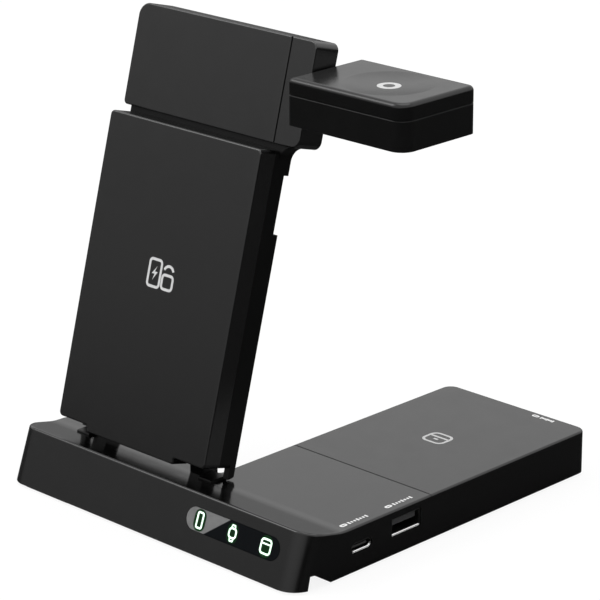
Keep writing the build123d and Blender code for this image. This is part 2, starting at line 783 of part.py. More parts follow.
def type_a_shell():
    """A type A socket's metal shell, its mouth at the origin and its body along -X."""
    outer = Box(TYPE_A_LENGTH, TYPE_A_WIDTH, TYPE_A_HEIGHT)
    bore = Box(
        TYPE_A_LENGTH + OVERCUT,
        TYPE_A_WIDTH - 2 * SHELL_SHEET,
        TYPE_A_HEIGHT - 2 * SHELL_SHEET,
    )
    return Pos(-TYPE_A_LENGTH / 2, 0, 0) * (outer - bore)


def type_a_tongue():
    """A type A socket's insulator: an end block and the blade in the upper half."""
    inner_width = TYPE_A_WIDTH - 2 * SHELL_SHEET
    inner_height = TYPE_A_HEIGHT - 2 * SHELL_SHEET
    end = Pos(SOCKET_BLOCK / 2, 0, 0) * Box(SOCKET_BLOCK, inner_width, inner_height)
    blade_length = TYPE_A_LENGTH - TYPE_A_BLADE_SET_BACK
    blade_z = inner_height / 2 - TYPE_A_BLADE_DROP - TYPE_A_BLADE_THICKNESS / 2
    blade = Box(blade_length, TYPE_A_BLADE_WIDTH, TYPE_A_BLADE_THICKNESS)
    return Pos(-TYPE_A_LENGTH, 0, 0) * (end + Pos(blade_length / 2, 0, blade_z) * blade)


def make_coil(x, y, outer_r, hole_r, z0):
    """A flat charging coil."""
    ring = rod_z(x, y, outer_r, z0, z0 + COIL_THICKNESS)
    return ring - rod_z(x, y, hole_r, z0 - OVERCUT, z0 + COIL_THICKNESS + OVERCUT)


def make_ferrite(x, y, side, z0):
    """The ferrite sheet behind a square coil module."""
    half = side / 2
    return rounded_block(
        x - half, x + half, y - half, y + half, z0, z0 + FERRITE_THICKNESS, FERRITE_CORNER_R
    )


def make_hinge_bushes():
    """The bushes in the two hinge ears."""
    bushes = []
    for x in EAR_XS:
        x0 = x - EAR_WIDTH / 2
        x1 = x + EAR_WIDTH / 2
        bush = rod_x(HINGE_Y, HINGE_Z, HINGE_BUSH_R, x0, x1)
        bush -= rod_x(HINGE_Y, HINGE_Z, HINGE_PIN_R + HINGE_PLAY, x0 - OVERCUT, x1 + OVERCUT)
        bushes.append(bush.solids()[0])
    return Compound(children=bushes)


# ---- Arm, drawn in the arm's plane: x to the right, y up the arm, z to its front ----
def pin_start():
    """The left end of the hinge pin, behind its plug."""
    return ARM_LEFT_X + PLUG_LENGTH


def pin_end():
    """The blind end of the hinge pin's bore."""
    return ARM_RIGHT_X - PIN_END_GAP


def ear_pocket(x):
    """The pocket that lets an ear pass from below the arm to behind it as the arm folds."""
    half = EAR_WIDTH / 2 + WASHER_THICKNESS + 2 * WASHER_PLAY
    reach = EAR_R + EAR_GAP
    low = ARM_BOTTOM - OVERCUT
    return block(x - half, x + half, low, reach, ARM_BACK - OVERCUT, ARM_PARTING + OVERCUT)


def heel_form(x0):
    """A heel under one end of the arm, rounded about the hinge so that it clears the base."""
    x1 = x0 + HEEL_WIDTH
    heel = block(x0, x1, -HEEL_R, ARM_BOTTOM + ARM_WALL, ARM_BACK, ARM_BACK + HEEL_DEPTH)
    return heel & rod_x(0, 0, HEEL_R, x0, x1)


def neck_form():
    """The neck between the arm's case and the deeper head, drawn along X."""
    front = HEAD_FRONT - NECK_SET_BACK
    outline = [
        (HEAD_BOTTOM - NECK_LENGTH - HEAD_GROOVE, ARM_BACK),
        (HEAD_BOTTOM - NECK_LENGTH - HEAD_GROOVE, front),
        (HEAD_BOTTOM, front),
        (HEAD_BOTTOM, HEAD_BACK),
        (HEAD_BOTTOM - (ARM_BACK - HEAD_BACK), ARM_BACK),
    ]
    return prism_x(outline, ARM_LEFT_X, ARM_RIGHT_X)


def gusset_form():
    """The curved gusset under the head's overhang on the right."""
    front = HEAD_FRONT - NECK_SET_BACK
    x0 = ARM_RIGHT_X - ARM_WALL
    gusset = block(x0, ARM_RIGHT_X + GUSSET_R, HEAD_BOTTOM - GUSSET_R, HEAD_BOTTOM, ARM_BACK, front)
    scoop = rod_z(
        ARM_RIGHT_X + GUSSET_R, HEAD_BOTTOM - GUSSET_R, GUSSET_R, ARM_BACK - OVERCUT, front + OVERCUT
    )
    return gusset - scoop


def head_outline(x0, x1, radii):
    """The head's outline between two X values, with radii for its four corners."""
    bottom_left, bottom_right, top_right, top_left = radii
    return [
        (x0, HEAD_BOTTOM, bottom_left),
        (x1, HEAD_BOTTOM, bottom_right),
        (x1, HEAD_TOP, top_right),
        (x0, HEAD_TOP, top_left),
    ]


def make_arm_case():
    """The rear case of the arm with the head's tub: one moulding, open to the front."""
    case = rounded_block(
        ARM_LEFT_X,
        ARM_RIGHT_X,
        ARM_BOTTOM,
        HEAD_BOTTOM - HEAD_GROOVE,
        ARM_BACK,
        ARM_PARTING,
        PANEL_CORNER_R,
    )
    case -= block(
        ARM_LEFT_X + ARM_WALL,
        ARM_RIGHT_X - ARM_WALL,
        ARM_FOOT_BLOCK,
        PANEL_TOP - NECK_LENGTH,
        ARM_BACK + ARM_WALL,
        ARM_PARTING + OVERCUT,
    )
    case += neck_form()
    case += gusset_form()
    seam = HEAD_SEAM_X - SEAM_GAP
    radii = (HEAD_BOTTOM_LEFT_R, 0, 0, HEAD_TOP_LEFT_R)
    case += plan(head_outline(HEAD_LEFT_X, seam, radii), HEAD_BACK, HEAD_PARTING)
    case -= head_hollow(HEAD_LEFT_X, seam, HEAD_BACK + ARM_WALL, HEAD_PARTING + OVERCUT)
    case += finger_notch_floor()
    case -= finger_notch()
    for x in EAR_XS:
        case -= ear_pocket(x)
    case += heel_form(ARM_LEFT_X)
    case += heel_form(ARM_RIGHT_X - HEEL_WIDTH)
    case -= rod_x(0, 0, HINGE_PIN_R, pin_start() - OVERCUT, pin_end())
    case -= rod_x(0, 0, PLUG_R, ARM_LEFT_X - OVERCUT, pin_start())
    for x, y in arm_board_mounts():
        case += rod_z(x, y, ARM_STANDOFF_R, ARM_BACK + ARM_WALL / 2, ARM_BACK + ARM_WALL + ARM_BOARD_RISE)
    return arm_place(case)


def head_hollow(x0, x1, z0, z1):
    """The space inside the head between two X values."""
    return block(
        x0 + ARM_WALL, x1 - ARM_WALL, HEAD_BOTTOM + ARM_WALL, HEAD_TOP - ARM_WALL, z0, z1
    )


def finger_notch():
    """The grip cut into the arm's rear right edge."""
    end = NOTCH_START + NOTCH_LENGTH
    corners = [
        (ARM_RIGHT_X - NOTCH_REACH, NOTCH_START, NOTCH_DEPTH),
        (ARM_RIGHT_X + OVERCUT, NOTCH_START, 0),
        (ARM_RIGHT_X + OVERCUT, end, 0),
        (ARM_RIGHT_X - NOTCH_REACH, end, NOTCH_DEPTH),
    ]
    return plan(corners, ARM_BACK - OVERCUT, ARM_BACK + NOTCH_DEPTH)


def finger_notch_floor():
    """The thickened wall that the grip is cut into."""
    return block(
        ARM_RIGHT_X - NOTCH_REACH - ARM_WALL,
        ARM_RIGHT_X - ARM_WALL / 2,
        NOTCH_START - ARM_WALL,
        NOTCH_START + NOTCH_LENGTH + ARM_WALL,
        ARM_BACK + ARM_WALL / 2,
        ARM_BACK + NOTCH_DEPTH + ARM_WALL,
    )


def arm_board_mounts():
    """Where the arm's board rests on the case."""
    left = ARM_MID_X - ARM_BOARD_WIDTH / 2 + ARM_MOUNT_INSET
    right = ARM_MID_X + ARM_BOARD_WIDTH / 2 - ARM_MOUNT_INSET
    low = ARM_BOARD_UP + ARM_MOUNT_INSET
    high = ARM_BOARD_UP + ARM_BOARD_LENGTH - ARM_MOUNT_INSET
    return [(left, low), (right, low), (left, high), (right, high)]


def panel_outline():
    """The phone panel's outline, with the lower edge that hangs down between the ears."""
    left = ARM_MID_X - SKIRT_WIDTH / 2
    right = ARM_MID_X + SKIRT_WIDTH / 2
    low = ARM_BOTTOM - SKIRT_DROP
    return [
        (ARM_LEFT_X, ARM_BOTTOM, PANEL_CORNER_R),
        (left, ARM_BOTTOM, SKIRT_CORNER_R),
        (left, low, SKIRT_CORNER_R),
        (right, low, SKIRT_CORNER_R),
        (right, ARM_BOTTOM, SKIRT_CORNER_R),
        (ARM_RIGHT_X, ARM_BOTTOM, PANEL_CORNER_R),
        (ARM_RIGHT_X, PANEL_TOP, PANEL_CORNER_R),
        (ARM_LEFT_X, PANEL_TOP, PANEL_CORNER_R),
    ]


def make_phone_panel():
    """The phone panel: a shallow moulding that closes the arm's front."""
    panel = plan(panel_outline(), ARM_PARTING, ARM_FRONT)
    panel = fillet(edges_at_top(panel), PANEL_EDGE_R)
    panel -= block(
        ARM_LEFT_X + PANEL_WALL,
        ARM_RIGHT_X - PANEL_WALL,
        ARM_BOTTOM + PANEL_WALL,
        PANEL_TOP - PANEL_WALL,
        ARM_PARTING - OVERCUT,
        ARM_FRONT - PANEL_WALL,
    )
    return arm_place(panel)


def make_head_cover():
    """The head's front cover, left of the seam."""
    seam = HEAD_SEAM_X - SEAM_GAP
    radii = (HEAD_BOTTOM_LEFT_R, 0, 0, HEAD_TOP_LEFT_R)
    cover = plan(head_outline(HEAD_LEFT_X, seam, radii), HEAD_PARTING, HEAD_FRONT)
    cover = fillet(edges_at_top(cover), HEAD_EDGE_R)
    cover -= head_hollow(HEAD_LEFT_X, seam, HEAD_PARTING - OVERCUT, HEAD_FRONT - HEAD_FACE)
    return arm_place(cover)


def make_head_end_cap():
    """The end cap that carries the watch platform's pivot."""
    radii = (0, HEAD_BOTTOM_RIGHT_R, HEAD_TOP_RIGHT_R, 0)
    cap = plan(head_outline(HEAD_SEAM_X, HEAD_RIGHT_X, radii), HEAD_BACK, HEAD_FRONT)
    cap = fillet(edges_at_top(cap), HEAD_EDGE_R)
    cap -= block(
        HEAD_SEAM_X - OVERCUT,
        HEAD_RIGHT_X - ARM_WALL,
        HEAD_BOTTOM + ARM_WALL,
        HEAD_TOP - ARM_WALL,
        HEAD_BACK + ARM_WALL,
        HEAD_FRONT - ARM_WALL,
    )
    boss = rod_x(TILT_U, TILT_W, TILT_BOSS_R, tilt_boss_start(), HEAD_RIGHT_X - ARM_WALL / 2)
    cap += boss
    cap -= rod_x(TILT_U, TILT_W, TILT_BUSH_R, tilt_boss_start() - OVERCUT, HEAD_RIGHT_X + OVERCUT)
    return arm_place(cap)


def tilt_boss_start():
    """The inner end of the pivot boss in the head."""
    return HEAD_RIGHT_X - TILT_BOSS_LENGTH


def make_tilt_bush():
    """The bush that the platform's shaft turns in."""
    bush = rod_x(TILT_U, TILT_W, TILT_BUSH_R, tilt_boss_start(), HEAD_RIGHT_X)
    hole = rod_x(TILT_U, TILT_W, TILT_PIN_R + TILT_PLAY, HEAD_SEAM_X, HEAD_RIGHT_X + OVERCUT)
    return arm_place(bush - hole)


def make_arm_board():
    """The charging board inside the arm."""
    z0 = ARM_BACK + ARM_WALL + ARM_BOARD_RISE
    return arm_place(block(
        ARM_MID_X - ARM_BOARD_WIDTH / 2,
        ARM_MID_X + ARM_BOARD_WIDTH / 2,
        ARM_BOARD_UP,
        ARM_BOARD_UP + ARM_BOARD_LENGTH,
        z0,
        z0 + BOARD_THICKNESS,
    ))


def make_hinge_pin():
    """The steel pin that the arm turns on."""
    return arm_place(rod_x(0, 0, HINGE_PIN_R, pin_start(), pin_end()))


def make_hinge_plug():
    """The plug that closes the pin's bore on the left."""
    return arm_place(rod_x(0, 0, PLUG_R, ARM_LEFT_X, pin_start()))


def make_friction_washers():
    """The spring washers on both sides of each ear."""
    washers = []
    for x in EAR_XS:
        for side in (-1, 1):
            middle = x + side * (EAR_WIDTH / 2 + WASHER_PLAY + WASHER_THICKNESS / 2)
            half = WASHER_THICKNESS / 2
            ring = rod_x(0, 0, WASHER_R, middle - half, middle + half)
            ring -= rod_x(0, 0, HINGE_PIN_R + HINGE_PLAY, middle - OVERCUT, middle + OVERCUT)
            washers.append(arm_place(ring.solids()[0]))
    return Compound(children=washers)


# ---- Watch platform ----
def platform_outline(inset):
    """The platform's plan, drawn in by inset."""
    x0 = PLATFORM_X + inset
    x1 = PLATFORM_X + PLATFORM_WIDTH - inset
    y0 = PLATFORM_Y + inset
    y1 = PLATFORM_Y + PLATFORM_DEPTH - inset
    inner = max(PLATFORM_INNER_R - inset, 0)
    return [
        (x0, y0, inner),
        (x1, y0, max(PLATFORM_FRONT_R - inset, 0)),
        (x1, y1, max(PLATFORM_REAR_R - inset, 0)),
        (x0, y1, inner),
    ]


def make_watch_case():
    """The platform's lower shell with the boss that is fixed on the shaft."""
    case = plan(platform_outline(0), PLATFORM_Z, PLATFORM_SPLIT)
    case = chamfer(edges_at_top(case), PARTING_BEVEL)
    case -= plan(platform_outline(PLATFORM_WALL), PLATFORM_Z + PLATFORM_WALL, PLATFORM_SPLIT + OVERCUT)
    boss_end = PLATFORM_X + PLATFORM_BOSS_LENGTH
    case += rod_x(TILT_Y, TILT_Z, PLATFORM_BOSS_R, PLATFORM_X + PLATFORM_WALL / 2, boss_end)
    return case - rod_x(TILT_Y, TILT_Z, TILT_PIN_R, PLATFORM_X - OVERCUT, boss_end + OVERCUT)


def make_watch_top():
    """The platform's top with its shallow round dish."""
    top = plan(platform_outline(0), PLATFORM_SPLIT, PLATFORM_TOP)
    top = fillet(edges_at_top(top), PLATFORM_EDGE_R)
    skin = DISH_DEPTH + DISH_SKIN
    top -= plan(platform_outline(PLATFORM_WALL), PLATFORM_SPLIT - OVERCUT, PLATFORM_TOP - skin)
    ball_r = (DISH_R**2 + DISH_DEPTH**2) / (2 * DISH_DEPTH)
    return top - Pos(DISH_X, DISH_Y, PLATFORM_TOP - DISH_DEPTH + ball_r) * Sphere(ball_r)


def watch_stack_top():
    """The underside of the platform's top, where the coil sits."""
    return PLATFORM_TOP - DISH_DEPTH - DISH_SKIN


def make_watch_ferrite():
    """The round ferrite under the watch coil."""
    z1 = watch_stack_top() - COIL_THICKNESS
    return rod_z(DISH_X, DISH_Y, WATCH_FERRITE_R, z1 - FERRITE_THICKNESS, z1)


def make_watch_magnet():
    """The magnet in the coil's centre."""
    z1 = watch_stack_top()
    z0 = z1 - COIL_THICKNESS
    return rod_z(DISH_X, DISH_Y, WATCH_MAGNET_R, z0, z1)


def make_watch_shaft():
    """The shaft that joins the platform to the head."""
    start = tilt_boss_start() - TILT_WASHER_THICKNESS - TILT_NUT_THICKNESS
    return rod_x(TILT_Y, TILT_Z, TILT_PIN_R, start, PLATFORM_X + PLATFORM_BOSS_LENGTH)


def make_shaft_nut():
    """The hexagonal nut on the shaft's inner end."""
    start = tilt_boss_start() - TILT_WASHER_THICKNESS - TILT_NUT_THICKNESS
    hexagon = extrude(RegularPolygon(TILT_NUT_R, 6), amount=TILT_NUT_THICKNESS)
    nut = Pos(start, TILT_Y, TILT_Z) * Rot(0, 90, 0) * hexagon
    return nut - rod_x(TILT_Y, TILT_Z, TILT_PIN_R, start - OVERCUT, tilt_boss_start())


def make_shaft_washer():
    """The spring washer that gives the platform its grip."""
    start = tilt_boss_start() - TILT_WASHER_THICKNESS + TILT_PLAY
    end = tilt_boss_start() - TILT_PLAY
    ring = rod_x(TILT_Y, TILT_Z, TILT_WASHER_R, start, end)
    return ring - rod_x(TILT_Y, TILT_Z, TILT_PIN_R + TILT_PLAY, start - OVERCUT, end + OVERCUT)


def save_base():
    """Write the base's pieces."""
    save("base_case", make_base_case())
    save("pad_cover", make_pad_cover())
    save("bottom_cover", make_bottom_cover())
    save("rubber_feet", make_rubber_feet())
    save("base_screws", make_base_screws())
    save("indicator_window", make_indicator_window())
    save("light_mask", make_light_mask())
    save("led_board", make_led_board())
    save("indicator_leds", make_indicator_leds())
    save("main_board", make_main_board())
    save("board_screws", make_board_screws())
    save("usb_c_output_shell", side_socket_place(TYPE_C_Y, TYPE_C_HEIGHT) * type_c_shell())
    save("usb_c_output_tongue", side_socket_place(TYPE_C_Y, TYPE_C_HEIGHT) * type_c_tongue())
    save("usb_a_output_shell", side_socket_place(TYPE_A_Y, TYPE_A_HEIGHT) * type_a_shell())
    save("usb_a_output_tongue", side_socket_place(TYPE_A_Y, TYPE_A_HEIGHT) * type_a_tongue())
    save("power_inlet_shell", inlet_place() * type_c_shell())
    save("power_inlet_tongue", inlet_place() * type_c_tongue())
    coil_z = PAD_UNDERSIDE - COIL_THICKNESS
    save("pad_coil", make_coil(PAD_X, PAD_Y, PAD_COIL_R, COIL_HOLE_R, coil_z))
    save("pad_ferrite", make_ferrite(PAD_X, PAD_Y, PAD_FERRITE_SIDE, coil_z - FERRITE_THICKNESS))
    save("hinge_bushes", make_hinge_bushes())


def save_arm():
    """Write the arm's pieces."""
    save("arm_case", make_arm_case())
    save("phone_panel", make_phone_panel())
    save("head_cover", make_head_cover())
    save("head_end_cap", make_head_end_cap())
    coil_z = ARM_FRONT - PANEL_WALL - COIL_THICKNESS
    coil = make_coil(ARM_MID_X, PHONE_COIL_UP, PHONE_COIL_R, COIL_HOLE_R, coil_z)
    save("phone_coil", arm_place(coil))
    ferrite = make_ferrite(ARM_MID_X, PHONE_COIL_UP, PHONE_FERRITE_SIDE, coil_z - FERRITE_THICKNESS)
    save("phone_ferrite", arm_place(ferrite))
    save("arm_board", make_arm_board())
    save("hinge_pin", make_hinge_pin())
    save("hinge_plug", make_hinge_plug())
    save("friction_washers", make_friction_washers())
    save("tilt_bush", make_tilt_bush())


def save_watch_platform():
    """Write the watch platform's pieces."""
    save("watch_case", make_watch_case())
    save("watch_top", make_watch_top())
    coil_z = watch_stack_top() - COIL_THICKNESS
    save("watch_coil", make_coil(DISH_X, DISH_Y, WATCH_COIL_R, WATCH_COIL_HOLE_R, coil_z))
    save("watch_ferrite", make_watch_ferrite())
    save("watch_magnet", make_watch_magnet())
    save("watch_shaft", make_watch_shaft())
    save("shaft_nut", make_shaft_nut())
    save("shaft_washer", make_shaft_washer())


save_base()
save_arm()
save_watch_platform()
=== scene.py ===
import bpy
import bmesh
import json
import math
from mathutils import Matrix, Quaternion, Vector


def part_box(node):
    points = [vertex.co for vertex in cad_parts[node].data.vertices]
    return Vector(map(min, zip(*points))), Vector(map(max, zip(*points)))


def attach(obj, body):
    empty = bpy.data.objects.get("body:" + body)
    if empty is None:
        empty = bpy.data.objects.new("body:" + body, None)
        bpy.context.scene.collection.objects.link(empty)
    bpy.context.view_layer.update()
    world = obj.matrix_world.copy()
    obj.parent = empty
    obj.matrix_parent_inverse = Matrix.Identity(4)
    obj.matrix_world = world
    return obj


# Folding three-in-one wireless charging station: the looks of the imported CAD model.
# Everything is in metres, in the CAD frame: +X right along the bar, +Y rear, +Z up.
# The constants of faces, marks, pieces and the window are in millimetres.

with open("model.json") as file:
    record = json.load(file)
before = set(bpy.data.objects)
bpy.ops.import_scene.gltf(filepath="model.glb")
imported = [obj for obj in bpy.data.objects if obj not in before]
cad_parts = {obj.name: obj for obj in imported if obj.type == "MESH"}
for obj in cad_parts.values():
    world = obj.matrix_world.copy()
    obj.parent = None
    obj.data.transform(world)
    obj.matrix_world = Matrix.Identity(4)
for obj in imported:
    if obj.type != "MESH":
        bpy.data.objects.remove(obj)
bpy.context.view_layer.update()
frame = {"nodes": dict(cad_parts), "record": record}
MM = 0.001

# ---- Faces that carry graphics ----
FACE_LEAN = math.radians(20.1)  # the base's front face, from vertical
ARM_LEAN = math.radians(15.1)  # the phone panel, from vertical
WINDOW_UP = 11.1  # up the front face to the status window's middle
PANEL_FRONT = 10.7  # from the hinge pin's axis out to the phone panel's face
DISH_DEPTH = 0.8  # the watch platform's dish, below its rim

# ---- Marks: an outline is x, y, width, height and corner radius ----
PRINT_HEIGHT = 0.03 * MM  # metres
MITRE_LEAST = 0.5  # limits how far a line's edge runs out where the line turns
CORNER_STEPS = 5
ICON_PITCH = 14.5
LIT_LINE = 0.62
LIT_THIN = 0.5
LIT_PHONE = (0, 0, 2.3, 4.9, 0.5)
LIT_WATCH = (0, 0, 2.9, 3.0, 1.0)
LIT_STRAP = ((-0.8, 1.7), (-0.55, 2.5), (0.55, 2.5), (0.8, 1.7))
LIT_CASE = (0, 0, 4.1, 4.5, 1.0)
LIT_LID = ((-1.8, 0.8), (1.8, 0.8))
HALOS = ((-1, 5.0, 7.0), (0, 4.6, 6.4), (1, 5.0, 7.0))  # place in the row, width, height
HALO_CORNER = 2.2
PANEL_MARK_AT = (0.9, 52.5)  # right of the panel's middle, up from the hinge pin's axis
PANEL_LINE = 0.9
PANEL_PHONE = (-2.9, 0, 5.4, 8.8, 1.1)
PANEL_BOLT = (-2.9, 0, 4.8)  # x, y, height
PANEL_CASE = (3.3, -1.9, 4.8, 4.6, 1.1)
PANEL_LID = (3.3, 1.2, 2.2, 20, 160, 12)  # x, y, radius, start, end, steps
BOLT = ((0.18, 0.5), (-0.26, -0.06), (0.02, -0.06), (-0.14, -0.5), (0.28, 0.1), (0.0, 0.1))
PAD_LINE = 0.95
PAD_CASE = (0, 0, 8.2, 7.4, 2.2)
PAD_LID = ((-3.7, 1.0), (3.7, 1.0))
PAD_CLASP = ((-0.9, -0.9), (0.9, -0.9))
WATCH_RING = (0, 0, 3.15, 0, 352.5, 47)  # x, y, radius, start, end, steps
WATCH_RING_WIDTH = 2.5
ROW_LINE = 0.6
ROW_PLUG = (1.4, 0, 2.2, 1.0, 0.45)  # x from the row's start
ROW_TICKS = 7
ROW_TICKS_FROM = 3.9
ROW_TICK_WIDTH = 0.7
ROW_TICK_HALVES = (0.75, 0.5, 0.5)  # half heights, in turn
SIDE_ROW_LENGTH = 11.6
SIDE_ROW_IN = 3.6
INLET_ROW_LENGTH = 8.8
INLET_ROW_IN = 2.8

# ---- Small pieces ----
LIP_CORNER_R = {"usb_a_output_shell": 0.5, "usb_c_output_shell": 1.4}
LIP_PROUD = 0.05
LIP_OUT = 0.35
LIP_RISE = 0.42
LIP_SET_IN = 0.25
LIP_UP = 0.1
LIP_STEPS = 6
PLINTH_FROM = 26.2
PLINTH_TO = 32.0
PLINTH_FRONT = 5.5
PLINTH_REAR = 1.4
PLINTH_RISE = 1.0
PLINTH_SUNK = 0.5
PLINTH_R = 0.5
DRIVE_REACH = 0.9
DRIVE_WIDTH = 0.35
DRIVE_TURN = 0.3  # radians
SEAM_WIDTH = 0.6
SEAM_SHORT = 1.2
SAME_VERTEX = 1e-6  # metres

# ---- Status window: a painted reflection, a paler glare at its left end, with a slanted edge ----
PAINTED_GLARE_LEFT = 22.6  # from the window's middle to the edge, carried down to z = 0
PAINTED_GLARE_SLANT = 1.4  # the edge's way to the right for each step up
PAINTED_GLARE_SOFT = 0.2
PAINTED_GLARE_GREYS = (0.13, 0.2)
WINDOW_BLACKS = ((0.0025, 0.003, 0.004), (0.004, 0.005, 0.006))

# ---- Camera, in metres but for the lens and its sensor ----
CAMERA_AT = Vector((0.61699, -0.62920, 0.36794))
CAMERA_LOOKS_AT = Vector((-0.02684, 0.02735, 0.04933))
CAMERA_ROLL = math.radians(-0.23)
CAMERA_LENS = 171.8
CAMERA_SENSOR = 36
CAMERA_CLIP = (0.05, 50)

# ---- Studio, in metres: a direction's height and its lean to the right set the world's level ----
WORLD_HEIGHT = (0.06, 0.34, 0.34, 1.0)  # from and to height, from and to level
WORLD_SIDE = (0.25, 0.6, 1.0, 0.06)  # from and to lean, from and to level
SIDE_FALL = 2.0  # how much each step up takes off the lean
LIGHTS = (  # name, place, aim, size, watts
    ("key", (-1.1, -1.0, 1.5), (0, 0, 0.05), (1.0, 1.0), 9),
    ("top", (0.1, 0.2, 1.8), (0, 0, 0), (1.4, 1.4), 9),
)
FLOOR_SIZE = 6.0
FLOOR_STEPS = 12
FLOOR_GREY = 0.95
FLOOR_WHITENED = 0.88
CARD_REACH = 3.2
CARD_LIFT = 0.0001
CARD_GREYS = (0.01, 0.02)
CARD_ROUGHNESS = 0.9

# ---- Textures ----
NOISE_SPAN = (0.3, 0.7)  # where most of a noise's values lie
FINE_BUMP = 0.00002  # metres
TRACK_BUMP = 0.00003  # metres
TRACK_EDGE = (0.25, 0.3)  # distances in the cells between which a track ends
BOARD_GREENS = ((0.01, 0.06, 0.03), (0.015, 0.1, 0.045))


def middle(node):
    """The centre of a CAD node's box."""
    low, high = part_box(node)
    return (low + high) / 2


# ---- Shader nodes ----
def maths(tree, operation, *values):
    """A maths node over sockets and numbers, in their order."""
    node = tree.nodes.new("ShaderNodeMath")
    node.operation = operation
    for socket, value in zip(node.inputs, values):
        if isinstance(value, (int, float)):
            socket.default_value = value
        else:
            tree.links.new(value, socket)
    return node.outputs[0]


def graded(tree, value, low, high, out_low, out_high, easing="LINEAR"):
    """A change of level between two values."""
    node = tree.nodes.new("ShaderNodeMapRange")
    node.interpolation_type = easing
    node.inputs["From Min"].default_value = low
    node.inputs["From Max"].default_value = high
    node.inputs["To Min"].default_value = out_low
    node.inputs["To Max"].default_value = out_high
    tree.links.new(value, node.inputs["Value"])
    return node.outputs["Result"]


class Shader:
    """A node material under construction: one principled shader and what feeds it."""

    def __init__(self, name):
        self.material = bpy.data.materials.new(name)
        self.material.use_nodes = True
        self.tree = self.material.node_tree
        self.base = self.tree.nodes["Principled BSDF"]
        self.coords = self.tree.nodes.new("ShaderNodeTexCoord").outputs["Object"]

    def noise(self, scale, detail, rough=0.5):
        node = self.tree.nodes.new("ShaderNodeTexNoise")
        node.inputs["Scale"].default_value = scale
        node.inputs["Detail"].default_value = detail
        node.inputs["Roughness"].default_value = rough
        self.tree.links.new(self.coords, node.inputs["Vector"])
        return node.outputs["Fac"]

    def cells(self, scale):
        node = self.tree.nodes.new("ShaderNodeTexVoronoi")
        node.inputs["Scale"].default_value = scale
        self.tree.links.new(self.coords, node.inputs["Vector"])
        return node.outputs["Distance"]

    def drift(self, span, **noise):
        """A value that drifts over the surface between the two ends of a span."""
        return graded(self.tree, self.noise(**noise), *NOISE_SPAN, *span)

    def blend(self, factor, first, second):
        node = self.tree.nodes.new("ShaderNodeMix")
        node.data_type = "RGBA"
        for socket, value in (("A", first), ("B", second)):
            if isinstance(value, tuple):
                node.inputs[socket].default_value = (*value, 1)
            else:
                self.tree.links.new(value, node.inputs[socket])
        self.tree.links.new(factor, node.inputs["Factor"])
        return node.outputs["Result"]

    def feed(self, socket, value):
        self.tree.links.new(value, self.base.inputs[socket])

    def bump(self, height, distance):
        node = self.tree.nodes.new("ShaderNodeBump")
        node.inputs["Distance"].default_value = distance
        node.inputs["Strength"].default_value = 1.0
        self.tree.links.new(height, node.inputs["Height"])
        self.feed("Normal", node.outputs["Normal"])


def grey(value):
    return (value, value, value)


# ---- Finishes ----
def moulded(name, greys, roughness, grain, depth, level):
    """Moulded black plastic: a spark-eroded grain, and slow drifts of tone and gloss."""
    s = Shader(name)
    s.base.inputs["Specular IOR Level"].default_value = level
    s.feed("Base Color", s.blend(s.noise(scale=45, detail=4), *map(grey, greys)))
    s.feed("Roughness", s.drift(roughness, scale=160, detail=5, rough=0.6))
    s.bump(s.noise(scale=grain, detail=2, rough=0.7), depth)
    return s.material


def metal(name, colour, roughness, scale):
    """Bare metal with fine handling marks."""
    s = Shader(name)
    s.base.inputs["Metallic"].default_value = 1.0
    light = tuple(min(1, 1.15 * c) for c in colour)
    s.feed("Base Color", s.blend(s.noise(scale=300, detail=3), colour, light))
    s.feed("Roughness", s.drift(roughness, scale=scale, detail=5, rough=0.7))
    s.bump(s.noise(scale=scale * 2, detail=2), FINE_BUMP)
    return s.material


def coated(name, greys, scale, rough):
    """Paint, ink, plastic or sintered stuff: two tones and an even gloss."""
    s = Shader(name)
    tone = s.noise(scale=scale, detail=5, rough=0.6)
    s.feed("Base Color", s.blend(tone, *map(grey, greys)))
    s.feed("Roughness", s.drift((rough - 0.05, rough + 0.05), scale=scale * 3, detail=3))
    s.bump(s.noise(scale=scale * 6, detail=2), FINE_BUMP)
    return s.material


def glow(name, colour, strength):
    """A symbol that is lit from behind, a little uneven as a light guide is."""
    s = Shader(name)
    s.base.inputs["Specular IOR Level"].default_value = 0.1
    dull = tuple(0.8 * c for c in colour)
    s.feed("Base Color", s.blend(s.noise(scale=400, detail=2), colour, dull))
    uneven = (0.9 * strength, 1.1 * strength)
    s.feed("Emission Strength", s.drift(uneven, scale=350, detail=2))
    s.base.inputs["Emission Color"].default_value = (*colour, 1)
    return s.material


def smoked(name):
    """The dark polished status window, with a painted reflection, a paler glare, over its left end.
    """
    s = Shader(name)
    s.base.inputs["Specular IOR Level"].default_value = 0.08
    split = s.tree.nodes.new("ShaderNodeSeparateXYZ")
    s.tree.links.new(s.coords, split.inputs[0])
    # Painted reflection: left of a slanted edge the window's colour turns to paler greys, a glare.
    across = maths(s.tree, "MULTIPLY_ADD", split.outputs["Z"], -PAINTED_GLARE_SLANT, split.outputs["X"])
    edge, soft = middle("indicator_window").x - PAINTED_GLARE_LEFT * MM, PAINTED_GLARE_SOFT * MM
    past_painted_glare = graded(s.tree, across, edge - soft, edge + soft, 0.0, 1.0)
    painted_glare_tone = s.blend(s.noise(scale=260, detail=3), *map(grey, PAINTED_GLARE_GREYS))
    dark = s.blend(s.noise(scale=120, detail=2), *WINDOW_BLACKS)
    s.feed("Base Color", s.blend(past_painted_glare, painted_glare_tone, dark))
    s.feed("Roughness", s.drift((0.05, 0.09), scale=500, detail=4))
    return s.material


def circuit_board(name):
    """Green solder mask with darker copper tracks under it."""
    s = Shader(name)
    tracks = graded(s.tree, s.cells(scale=420), *TRACK_EDGE, 0, 1)
    s.feed("Base Color", s.blend(tracks, *BOARD_GREENS))
    s.feed("Roughness", s.drift((0.3, 0.42), scale=800, detail=3))
    s.bump(tracks, TRACK_BUMP)
    return s.material


